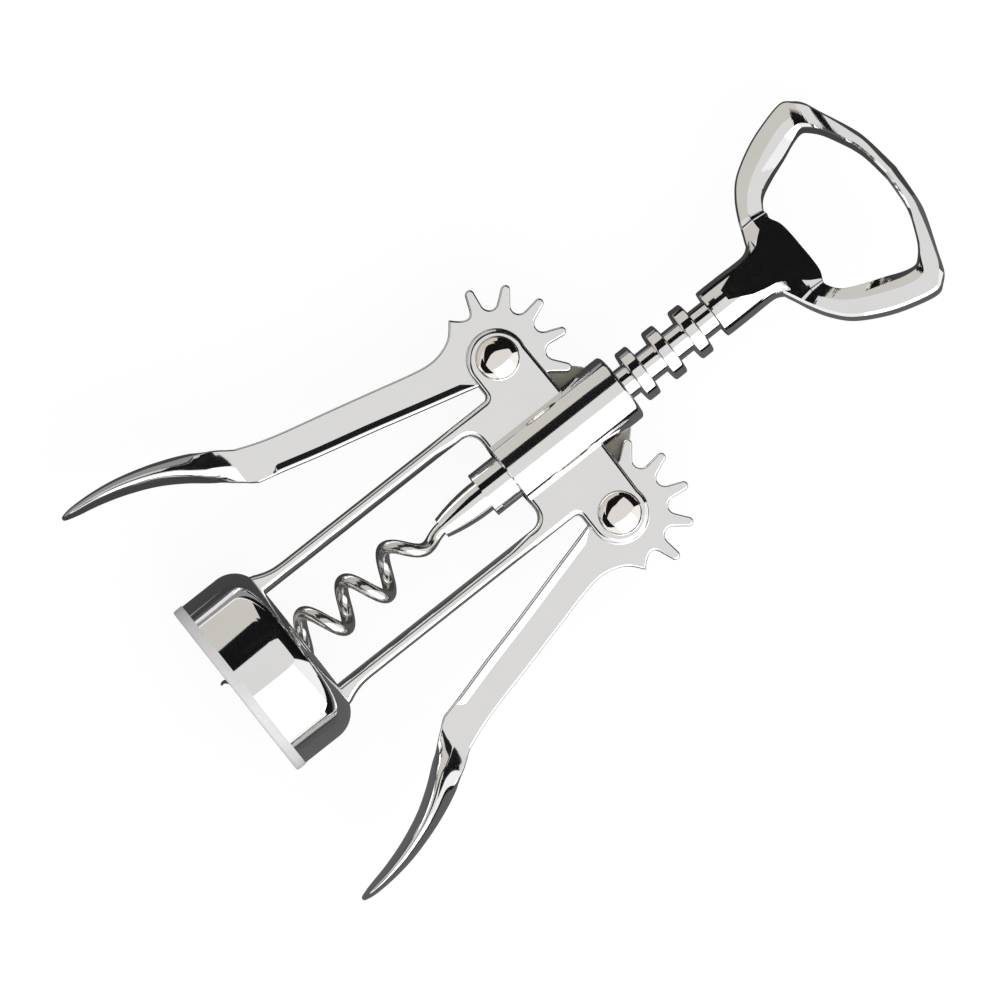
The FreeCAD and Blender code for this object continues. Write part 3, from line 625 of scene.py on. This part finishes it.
def buildFrame(name, node, front):
    s = frameSizes
    bm = bmesh.new()
    turn = 1 if front else -1
    for side in (-1, 1):
        outline = plateOutline(not front)
        outline.reverse()
        # the two points on the split line are doubled, so that the back can step down there
        full = []
        for number, point in enumerate(outline):
            if abs(point.y - s["split"]) < near:
                before = outline[number - 1].y < s["split"]
                full += [(point, before), (point, not before)]
            else:
                full.append((point, point.y < s["split"]))
        rows = []
        for point, low in full:
            # the legs' sides slope more than the plate's, most of all on the inside
            share = min(max((s["split"] - point.y) / s["blend"], 0.0), 1.0)
            leg = s["innerSlope"] if point.x < s["legIn"] + near else s["outerSlope"]
            back = 0.0 if low else s["plateBack"]
            edge = s["edge"] + (s["legEdge"] - s["edge"]) * share
            slope = s["plateSlope"] + (leg - s["plateSlope"]) * share
            rows.append(edgeRings(s["plateFront"], back, edge, s["backEdge"], slope, s["support"]))
        layers = []
        for index in range(len(rows[0])):
            moved = inset([point for point, low in full], [row[index][0] for row in rows])
            made = []
            for (x, y), row, (original, low) in zip(moved, rows, full):
                height = row[index][1]
                if abs(original.x - s["buried"]) < near:
                    x = s["buried"]
                if original.y < bellSizes["top"] + near:
                    y = bellHeight(math.hypot(x, height)) - s["sunk"]
                made.append(bm.verts.new((side * x, y, turn * height)))
            layers.append(made)
        for upper, lower in zip(layers, layers[1:]):
            bridge(bm, upper, lower)
        fillFlat(bm, [layers[0]])
        closeBack(bm, layers[-1], full)
    buildSleeve(bm, turn)
    # the third finish, inner_face, is painted shade for the plate's back
    others = ["sleeve_chrome", "inner_face"]
    pieceFrom(name, bm, "satin_chrome", "frame", [node], s["sharp"], others)


# The legs reach the middle plane; the plate's back stands off it, above a small step, and is darkened
# with painted shade
def closeBack(bm, layer, full):
    split = frameSizes["split"]
    lowPart = [(v, point) for v, (point, low) in zip(layer, full) if low]
    highPart = [(v, point) for v, (point, low) in zip(layer, full) if not low]
    stepLow = [v for v, point in lowPart if abs(point.y - split) < near]
    stepHigh = [v for v, point in highPart if abs(point.y - split) < near]
    lowPart, highPart = [v for v, point in lowPart], [v for v, point in highPart]
    fillFlat(bm, [lowPart])
    begin = next(n for n, v in enumerate(highPart) if v is stepHigh[-1])
    before = set(bm.faces)
    fillFlat(bm, [highPart[begin:] + highPart[:begin]])
    # the back above the step takes the painted shade finish
    for face in bm.faces:
        if face not in before:
            face.material_index = 2
    bm.faces.new((stepLow[0], stepLow[1], stepHigh[1], stepHigh[0]))


# Half a tube whose middle is cut away beside the split line for the gears
def buildSleeve(bm, turn):
    s = frameSizes
    count = s["around"]
    middle = s["pivot"][1]
    low, high = middle - s["window"], middle + s["window"]
    # heights, and how far the outside stands back there
    levels = [(s["bottom"], s["bevel"]), (s["bottom"] + s["bevel"], 0.0), (low, 0.0), (high, 0.0)]
    levels += [(s["sleeveTop"] - s["mouth"] * left, s["mouth"] * gone) for left, gone in quarterRound(4)]
    rows = {}
    for radius in (s["sleeve"], s["bore"]):
        gate = math.asin(s["plateBack"] / radius)
        angles = [gate + (math.pi - 2 * gate) * column / count for column in range(count + 1)]
        angles = [0.0] + angles + [math.pi]
        rows[radius] = []
        for height, depth in levels:
            reach = radius - (depth if radius == s["sleeve"] else 0.0)
            rows[radius].append([bm.verts.new((reach * math.cos(a), height, turn * reach * math.sin(a)))
                                 for a in angles])
    cells = []
    for row in range(len(levels) - 1):
        for column in range(count + 2):
            windowRow = levels[row][0] >= low - near and levels[row + 1][0] <= high + near
            if not (windowRow and column in (0, count + 1)):
                cells.append((row, column))
    uses = {}
    for row, column in cells:
        corners = [(row, column), (row, column + 1), (row + 1, column + 1), (row + 1, column)]
        for radius in rows:
            face = bm.faces.new([rows[radius][r][c] for r, c in corners])
            face.material_index = 1
        for a, b in zip(corners, corners[1:] + corners[:1]):
            key = tuple(sorted((a, b)))
            uses[key] = uses.get(key, 0) + 1
    outer, inner = rows[s["sleeve"]], rows[s["bore"]]
    for (a, b), number in uses.items():
        if number == 1:
            corners = [side[row][column] for side, (row, column) in
                       ((outer, a), (outer, b), (inner, b), (inner, a))]
            face = bm.faces.new(corners)
            face.material_index = 1


buildFrame("front_frame_half", "front_frame", True)
buildFrame("rear_frame_half", "rear_frame", False)
print("frame made")

buildBell()
print("bell made")


# Handle: round neck opening into a faceted loop, with a flute that runs out to a cap lifter's lip
handleSizes = {
    "turn": -17.0, "neckBottom": 125.1, "rod": 2.2, "rodTop": 134.0, "around": 72,
    "rim": 1.9, "thinnest": 2.9, "innerEdge": 0.12, "ridgeGap": 0.15, "across": 3, "along": 9,
    "sharp": 20.0, "weld": 0.001,
    # outer edge and inner edge of the loop from the neck to the top
    "band": [(0.0, 138.3, 0.0, 148.3), (3.0, 138.4, 3.4, 148.3), (5.8, 138.8, 6.6, 148.0),
             (8.8, 140.0, 9.0, 146.9), (12.1, 141.4, 10.7, 146.8), (16.0, 143.6, 13.4, 148.7),
             (19.7, 146.9, 15.3, 152.7), (23.2, 152.9, 16.8, 157.0), (25.3, 158.8, 18.3, 160.6),
             (26.2, 163.6, 19.1, 163.2), (25.0, 165.8, 18.4, 164.6), (23.2, 167.5, 16.2, 166.4),
             (19.7, 168.9, 12.7, 168.1), (12.8, 171.6, 9.2, 169.5), (8.4, 172.7, 5.7, 170.3),
             (0.0, 173.5, 0.0, 170.8)],
    # the same places: width of the inner bevel and of the outer one, ridge from the outer edge
    # to the inner one, slope of the inner bevel and of the two broad facets
    "section": [(3.0, 0.5, 0.5, 14.0, 17.0)] * 5
    + [(2.5, 0.5, 0.5, 16.0, 16.0), (2.3, 0.5, 0.5, 24.0, 14.0), (2.0, 0.5, 0.5, 36.0, 13.0),
       (1.6, 0.5, 0.5, 43.0, 13.0), (1.0, 0.5, 0.6, 43.0, 9.0), (0.8, 0.85, 0.8, 43.0, 5.0),
       (0.7, 1.2, 1.0, 43.0, 3.0), (0.7, 1.4, 1.0, 43.0, 3.0), (0.7, 1.4, 1.0, 43.0, 3.0),
       (0.65, 1.3, 1.0, 43.0, 3.0), (0.6, 1.25, 1.0, 43.0, 3.0)],
    # half width of the flute at heights up the neck
    "flute": [(1.3, 129.0), (2.3, 131.3), (3.3, 133.7), (3.85, 136.5), (4.2, 139.0), (4.9, 140.6),
              (6.3, 142.3), (8.0, 144.6), (9.2, 147.0), (9.5, 150.5)],
    "fluteFoot": 5.4, "fluteTop": 9.0, "lipHeight": 148.3, "lipLevel": -1.4,
    # height, half width and half depth of the neck
    "neckShape": [(125.1, 5.25, 5.25), (125.4, 5.55, 5.55), (131.0, 5.55, 5.55), (134.5, 5.5, 5.3),
                  (137.0, 5.6, 4.9), (138.4, 6.2, 4.5), (139.4, 7.2, 4.1), (140.2, 8.8, 3.6),
                  (140.6, 10.5, 3.0)],
}


def buildHandle():
    s = handleSizes
    bm = bmesh.new()
    places = [Vector(edges + shape) for edges, shape in zip(s["band"], s["section"])]
    half = smoothLine(places, s["along"])
    order = [(station, 1) for station in half] + [(station, -1) for station in half[-2:0:-1]]
    rings = []
    for (outX, outY, inX, inY, bevel, edge, ridgePlace, steepness, facet), sign in order:
        fall = math.tan(math.radians(steepness))
        rise = math.tan(math.radians(facet))
        a = Vector((outX * sign, outY))
        b = Vector((inX * sign, inY))
        width = (b - a).length
        ridge = min(width * ridgePlace, width - bevel - s["ridgeGap"])
        peak = max(s["thinnest"], s["rim"] + rise * width / 2)
        shoulder = peak - rise * (ridge - edge)
        shelf = peak - rise * (width - bevel - ridge)
        last = s["innerEdge"]
        # across the band: distance from the outer edge and height over the middle plane
        section = [(0.0, shoulder - edge), (edge, shoulder), (ridge, peak), (width - bevel, shelf),
                   (width - last, shelf - fall * (bevel - last)), (width, shelf - fall * bevel - last)]
        whole = section + [(across, -height) for across, height in reversed(section)]
        ring = []
        for (across, height), (following, nextHeight) in zip(whole, whole[1:] + whole[:1]):
            for step in range(s["across"]):
                part = step / s["across"]
                spot = a.lerp(b, (across + (following - across) * part) / width)
                ring.append(bm.verts.new((spot.x, spot.y, height + (nextHeight - height) * part)))
        rings.append(ring)
    along = set()
    for ring, after in zip(rings, rings[1:] + rings[:1]):
        bridge(bm, ring, after)
        along |= {frozenset(pair) for pair in zip(ring[::s["across"]], after[::s["across"]])}
    # the facets meet in crisp lines along the loop
    for edge in bm.edges:
        if frozenset(edge.verts) in along:
            edge.smooth = False
    band = plainMesh("band", bm)
    neck = bmesh.new()
    buildNeck(neck)
    body = joined(band, plainMesh("neck", neck), "UNION")
    body = joined(body, fluteCutter(), "DIFFERENCE")
    body.transform(Matrix.Rotation(math.radians(s["turn"]), 4, "Y") @ Matrix.Scale(mm, 4))
    bm = bmesh.new()
    bm.from_mesh(body)
    bmesh.ops.remove_doubles(bm, verts=bm.verts, dist=s["weld"] * mm)
    for edge in bm.edges:
        if edge.calc_face_angle(0.0) > math.radians(s["sharp"]):
            edge.smooth = False
    bm.to_mesh(body)
    bm.free()
    body.name = "loop_handle"
    dressed("loop_handle", body, "mirror_chrome", "screw", ["handle"])


# An unfinished mesh, still in millimetres
def plainMesh(name, bm):
    bmesh.ops.recalc_face_normals(bm, faces=bm.faces)
    mesh = bpy.data.meshes.new(name)
    bm.to_mesh(mesh)
    bm.free()
    return mesh


# Two meshes made into one by a boolean
def joined(first, second, operation):
    pair = [bpy.data.objects.new(mesh.name, mesh) for mesh in (first, second)]
    for thing in pair:
        bpy.context.scene.collection.objects.link(thing)
    modifier = pair[0].modifiers.new("join", "BOOLEAN")
    modifier.operation = operation
    modifier.object = pair[1]
    modifier.solver = "EXACT"
    view = bpy.context.evaluated_depsgraph_get()
    mesh = bpy.data.meshes.new_from_object(pair[0].evaluated_get(view))
    for thing in pair:
        bpy.data.objects.remove(thing)
    return mesh


# A wedge under which the neck slopes down to the lip
def fluteCutter():
    s = handleSizes
    bm = bmesh.new()
    outline = [Vector(p) for p in s["flute"]]
    outline += [Vector((-x, y)) for x, y in reversed(outline)]
    foot = s["flute"][0][1]
    slope = (s["lipLevel"] - s["fluteFoot"]) / (s["lipHeight"] - foot)
    low = [bm.verts.new((x, y, s["fluteFoot"] + slope * (y - foot))) for x, y in outline]
    high = [bm.verts.new((x, y, s["fluteTop"])) for x, y in outline]
    bridge(bm, high, low)
    bm.faces.new(high)
    bm.faces.new(low)
    return plainMesh("flute", bm)


# The neck ends inside the loop's foot and has a blind hole for the rod
def buildNeck(bm):
    s = handleSizes
    turns = [2 * math.pi * step / s["around"] for step in range(s["around"])]
    rings = []
    for height, halfX, halfZ in smoothLine([Vector(row) for row in s["neckShape"]], 3):
        rings.append([bm.verts.new((halfX * math.cos(a), height, halfZ * math.sin(a))) for a in turns])
    for upper, lower in zip(rings, rings[1:]):
        bridge(bm, upper, lower)
    bm.faces.new(rings[-1])
    rod = s["rod"]
    hole = [bm.verts.new((rod * math.cos(a), s["neckBottom"], rod * math.sin(a))) for a in turns]
    deep = [bm.verts.new((v.co.x, s["rodTop"], v.co.z)) for v in hole]
    bridge(bm, rings[0], hole)
    bridge(bm, hole, deep)
    bm.faces.new(deep)


buildHandle()
print("handle made")

# Carried-over pieces get their finish
for node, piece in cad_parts.items():
    slotName = piece.data.materials[0].name if piece.data.materials else ""
    key = next((k for k in finishes if slotName.startswith(k)), "mirror_chrome")
    for index in range(len(piece.material_slots)):
        piece.material_slots[index].material = finishes[key]
print("finishes set")


# Stage: a pale floor, a soft box, and cards that the polished metal reflects
blackTone = (0.006, 0.006, 0.007, 1.0)
stageSizes = {
    "floor": -0.0208, "floorReach": 3.0, "floorTone": 0.14, "floorGlow": 0.89, "floorRoughness": 0.9,
    "lift": 0.0003, "blackCard": 0.006,
    # overhead cards: height, corners and tone
    "overhead": [
        ("topCard", 0.9, [(-1.2, -2.5), (0.275, -2.5), (0.275, 2.5), (-1.2, 2.5)],
         (0.80, 0.793, 0.783, 1.0)),
        ("blackFlag", 0.45, [(-0.168, -0.25), (-0.075, -0.25), (-0.16, 0.035), (-0.16, 0.15),
                             (-0.56, 0.15), (-0.553, 0.035)], blackTone),
        ("farFlag", 0.45, [(-0.65, 0.33), (-0.31, 0.33), (-0.31, 0.56), (-0.65, 0.56)], blackTone),
        ("nearFlag", 0.45, [(-0.33, -1.2), (0.25, -1.2), (0.25, -0.25), (-0.33, -0.25)], blackTone),
    ],
    # a beige card beside the part: place, near, far, lower and upper edge
    "beside": (-0.9, -2.5, 2.5, -0.03, 0.9), "besideTone": (0.66, 0.635, 0.59, 1.0),
    # a black card beyond the handle: place, left, right, lower and upper edge
    "farCard": (0.77, -1.55, 0.20, -0.0208, 0.72),
    # a black card across the part, from the black flag's far edge down to just above the handle:
    # place, then corners
    "hanging": (0.14, [(-0.022, 0.06), (-0.058, 0.06), (-0.56, 0.45), (-0.16, 0.45)]),
    # cards on the floor, seen only in reflections, that paint dark shade on the floor around the part:
    # left, right, near and far edge, tone
    "floorShadowCards": [(-0.065, 0.0, -0.4, 0.77, 0.06), (-0.45, -0.065, -0.4, 0.125, 0.30),
                   (-0.45, -0.065, 0.125, 0.77, 0.008), (0.0, 0.12, -0.4, 0.77, 0.12),
                   (0.12, 0.27, -0.4, 0.77, 0.01)],
    # a low dark wall to the right: place, near, far and upper edge
    "wall": (0.27, 0.05, 0.55, 0.01),
}


# Corners of a level card, of one that stands across the part and of one that stands beside it
def levelCard(left, right, near, far, z):
    return [(left, near, z), (right, near, z), (right, far, z), (left, far, z)]


def crossCard(y, left, right, low, high):
    return [(left, y, low), (right, y, low), (right, y, high), (left, y, high)]


def sideCard(x, near, far, low, high):
    return [(x, near, low), (x, far, low), (x, far, high), (x, near, high)]


def sheet(name, corners, material, seen=False):
    mesh = bpy.data.meshes.new(name)
    mesh.from_pydata(corners, [], [tuple(range(len(corners)))])
    mesh.materials.append(material)
    card = bpy.data.objects.new(name, mesh)
    bpy.context.scene.collection.objects.link(card)
    if not seen:
        # seen only as a reflection, like a card held beside the part
        card.visible_camera = False
        card.visible_diffuse = False
        card.visible_shadow = False
        card.visible_transmission = False


def cardMaterial(name, colour):
    material, tree = newMaterial(name)[:2]
    tree.nodes.clear()
    glow = makeNode(tree, "ShaderNodeEmission", None, {"Color": colour, "Strength": 1.0})
    makeNode(tree, "ShaderNodeOutputMaterial", None, {"Surface": glow})
    return material


# One where the ray comes from the camera, or from a glossy or clear surface
def seenDirectly(tree):
    path = tree.nodes.new("ShaderNodeLightPath")
    camera, glossy, through = (Field(tree, path.outputs[title]) for title in
                               ("Is Camera Ray", "Is Glossy Ray", "Is Transmission Ray"))
    return (camera + glossy + through).clamp()


# Glows pale where it is seen, but lights the part only as a dull floor
def floorMaterial():
    s = stageSizes
    material, tree, shader = newMaterial("paleFloor")
    shader.inputs["Base Color"].default_value = grey(s["floorTone"])
    shader.inputs["Roughness"].default_value = s["floorRoughness"]
    shader.inputs["Specular IOR Level"].default_value = 0.0
    shader.inputs["Emission Color"].default_value = grey(1.0)
    glow = seenDirectly(tree) * s["floorGlow"]
    tree.links.new(glow.socket, shader.inputs["Emission Strength"])
    return material


def buildStage():
    s = stageSizes
    floor, reach = s["floor"], s["floorReach"]
    black = cardMaterial("blackCard", grey(s["blackCard"]))
    sheet("floor", levelCard(-reach, reach, -reach, reach, floor), floorMaterial(), seen=True)
    for name, height, corners, tone in s["overhead"]:
        sheet(name, [(x, y, height) for x, y in corners], cardMaterial(name, tone))
    sheet("besideCard", sideCard(*s["beside"]), cardMaterial("besideCard", s["besideTone"]))
    sheet("farCard0", crossCard(*s["farCard"]), black)
    y, corners = s["hanging"]
    sheet("hangingCard", [(x, y, z) for x, z in corners], black)
    # painted shade: dark floor cards that the metal reflects in place of the floor's shade around the
    # part
    for number, (left, right, near, far, tone) in enumerate(s["floorShadowCards"]):
        name = f"floorShadowCard{number}"
        corners = levelCard(left, right, near, far, floor + s["lift"])
        sheet(name, corners, cardMaterial(name, grey(tone)))
    x, near, far, high = s["wall"]
    sheet("rightWall", sideCard(x, near, far, floor, high), black)


buildStage()

# Soft box to the right of the part, tipped over towards its middle
lampSizes = {"width": 0.9, "length": 1.3, "energy": 4.0, "lean": 57.0, "distance": 0.8, "over": 0.06}


def buildLamp():
    s = lampSizes
    softbox = bpy.data.lights.new("softbox", "AREA")
    softbox.shape = "RECTANGLE"
    softbox.size = s["width"]
    softbox.size_y = s["length"]
    softbox.energy = s["energy"]
    lamp = bpy.data.objects.new("softbox", softbox)
    bpy.context.scene.collection.objects.link(lamp)
    lamp.visible_camera = False
    lean = math.radians(s["lean"])
    aim = Vector((0.0, s["over"], 0.0))
    lamp.location = (s["distance"] * math.sin(lean), s["over"], s["distance"] * math.cos(lean))
    lamp.rotation_euler = (aim - Vector(lamp.location)).to_track_quat("-Z", "Y").to_euler()


buildLamp()

# White surroundings that light the part a little less than they show
worldGlow = {"fill": 0.72, "seenExtra": 0.28}


def buildWorld():
    world = bpy.data.worlds.new("studio")
    bpy.context.scene.world = world
    world.use_nodes = True
    tree = world.node_tree
    tree.nodes.clear()
    strength = worldGlow["fill"] + seenDirectly(tree) * worldGlow["seenExtra"]
    sky = makeNode(tree, "ShaderNodeBackground", None, {"Color": grey(1.0), "Strength": strength})
    makeNode(tree, "ShaderNodeOutputWorld", None, {"Surface": sky})


buildWorld()

# Camera: nearly straight above, with the spindle leaning to the right
cameraSizes = {
    "aim": (2.86, 67.0, 0.0), "distance": 1500.0, "tilt": 2.5, "roll": 51.7,
    "lens": 263.0, "sensor": 36.0, "clipEnd": 20.0,
}


def buildCamera():
    s = cameraSizes
    tilt = math.radians(s["tilt"])
    roll = math.radians(s["roll"])
    aim = Vector(s["aim"]) * mm
    out = Vector((0.0, -math.sin(tilt), math.cos(tilt)))
    right = Vector((math.cos(roll), math.sin(roll), 0.0))
    right = (right - out * right.dot(out)).normalized()
    up = out.cross(right)
    camera = bpy.data.cameras.new("camera")
    camera.lens = s["lens"]
    camera.sensor_width = s["sensor"]
    camera.clip_end = s["clipEnd"]
    eye = bpy.data.objects.new("camera", camera)
    bpy.context.scene.collection.objects.link(eye)
    turned = Matrix((right, up, out)).transposed().to_4x4()
    turned.translation = aim + out * s["distance"] * mm
    eye.matrix_world = turned
    bpy.context.scene.camera = eye


buildCamera()
bpy.context.scene.view_settings.view_transform = "Standard"
print("stage and camera set")
